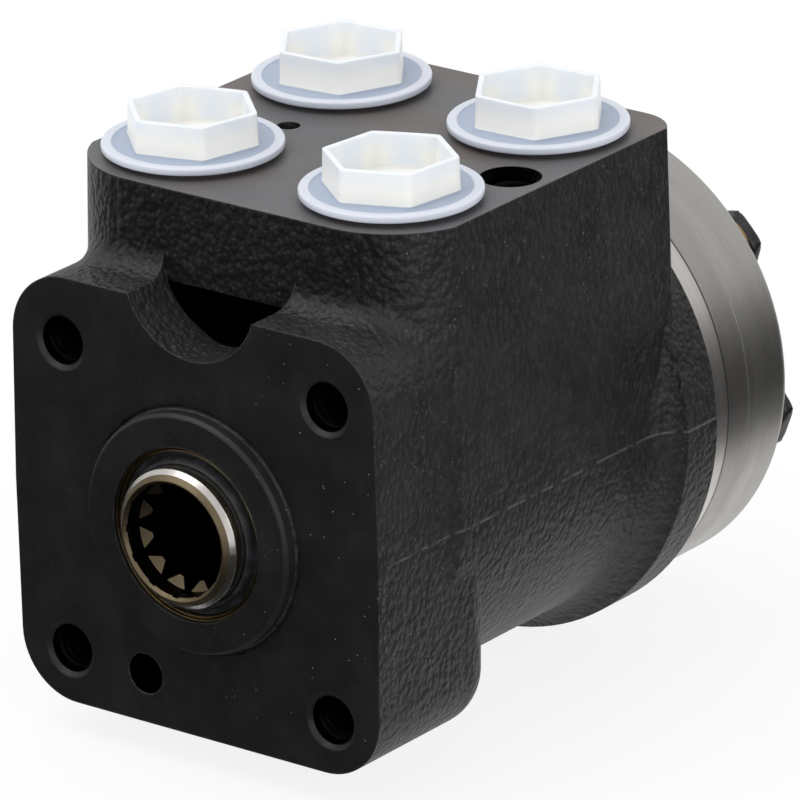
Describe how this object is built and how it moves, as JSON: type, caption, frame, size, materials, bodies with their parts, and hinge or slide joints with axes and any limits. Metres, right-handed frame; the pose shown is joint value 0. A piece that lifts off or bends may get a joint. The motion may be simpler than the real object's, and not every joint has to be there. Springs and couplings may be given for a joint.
{
  "type": "orbital steering unit",
  "caption": "Hydrostatic steering unit: a rotary valve and orbiting gear set in a square cast housing with a splined column socket, plugged ports and a round end cover.",
  "frame": {"origin": "on the spool axis in the plane of the column flange, where the pilot meets it", "axes": "+Y along the spool axis from the column flange to the end cover, +Z out of the port face, +X to the right seen from the column"},
  "size_m": [0.091, 0.133, 0.1139],
  "materials": {
    "cast_housing": "black coated sand casting with machined faces",
    "seal_rubber": "black moulded rubber",
    "seal_ptfe": "dark filled plastic seal",
    "bearing_steel": "ground steel",
    "cage_bronze": "pressed bronze",
    "valve_steel": "ground and polished steel",
    "spring_steel": "blued spring steel",
    "shaft_steel": "case-hardened steel, oiled",
    "ground_plate": "bright ground steel",
    "turned_ring": "bare turned steel",
    "black_bolt": "black-oxide steel",
    "copper_washer": "soft copper",
    "plug_plastic": "natural-white moulded plastic"
  },
  "bodies": {
    "housing": {"housing": "cast_housing", "dust_seal": "seal_rubber", "shaft_seal": "seal_ptfe", "seal_backing_ring": "seal_rubber", "bearing_front_race": "bearing_steel", "distributor_plate": "ground_plate", "gear_ring": "turned_ring", "end_cover": "turned_ring", "housing_oring": "seal_rubber", "plate_oring": "seal_rubber", "cover_oring": "seal_rubber", "cover_bolts": "black_bolt", "pin_bolt": "black_bolt", "sealing_washers": "copper_washer", "check_seat": "bearing_steel"},
    "sleeve": {"sleeve": "valve_steel", "cross_pin": "bearing_steel", "centring_springs": "spring_steel", "spring_retainer": "spring_steel", "bearing_rear_race": "bearing_steel"},
    "spool": {"spool": "valve_steel"},
    "bearing_cage": {"bearing_cage": "cage_bronze", "bearing_needles": "bearing_steel"},
    "shaft_spacer": {"shaft_spacer": "bearing_steel"},
    "rotor": {"rotor": "shaft_steel"},
    "drive_shaft": {"drive_shaft": "shaft_steel"},
    "check_ball": {"check_ball": "bearing_steel"},
    "plug_front_left": {"plug_front_left": "plug_plastic"},
    "plug_front_right": {"plug_front_right": "plug_plastic"},
    "plug_rear_left": {"plug_rear_left": "plug_plastic"},
    "plug_rear_right": {"plug_rear_right": "plug_plastic"}
  },
  "joints": [
    {"name": "steering_turn", "type": "hinge", "parent": "housing", "child": "sleeve", "pos_m": [0, 0, 0], "axis": [0, -1, 0], "continuous": true},
    {"name": "spool_deflection", "type": "hinge", "parent": "sleeve", "child": "spool", "pos_m": [0, 0, 0], "axis": [0, -1, 0], "range_deg": [-8, 8], "stiffness_Nm_per_rad": 8, "deforming": ["centring_springs"]},
    {"name": "cage_turn", "type": "hinge", "parent": "housing", "child": "bearing_cage", "pos_m": [0, 0, 0], "axis": [0, -1, 0], "continuous": true},
    {"name": "shaft_orbit", "type": "hinge", "parent": "housing", "child": "shaft_spacer", "pos_m": [0, 0, 0], "axis": [0, -1, 0], "continuous": true},
    {"name": "rotor_spin", "type": "hinge", "parent": "shaft_spacer", "child": "rotor", "pos_m": [0, 0.10375, 0.0035], "axis": [0, -1, 0], "continuous": true},
    {"name": "shaft_spin", "type": "hinge", "parent": "shaft_spacer", "child": "drive_shaft", "pos_m": [0, 0.035, 0], "axis": [0, -0.9987, -0.0508], "continuous": true},
    {"name": "check_lift", "type": "slide", "parent": "housing", "child": "check_ball", "axis": [0, 1, 0], "range_m": [0, 0.0015]},
    {"name": "plug_front_left_out", "type": "slide", "parent": "housing", "child": "plug_front_left", "axis": [0, 0, 1], "range_m": [0, 0.03]},
    {"name": "plug_front_right_out", "type": "slide", "parent": "housing", "child": "plug_front_right", "axis": [0, 0, 1], "range_m": [0, 0.03]},
    {"name": "plug_rear_left_out", "type": "slide", "parent": "housing", "child": "plug_rear_left", "axis": [0, 0, 1], "range_m": [0, 0.03]},
    {"name": "plug_rear_right_out", "type": "slide", "parent": "housing", "child": "plug_rear_right", "axis": [0, 0, 1], "range_m": [0, 0.03]}
  ],
  "couplings": [
    {"joint": "cage_turn", "follows": "steering_turn", "ratio": 0.5},
    {"joint": "shaft_orbit", "follows": "steering_turn", "ratio": -6},
    {"joint": "rotor_spin", "follows": "steering_turn", "ratio": 7},
    {"joint": "shaft_spin", "follows": "steering_turn", "ratio": 7}
  ]
}
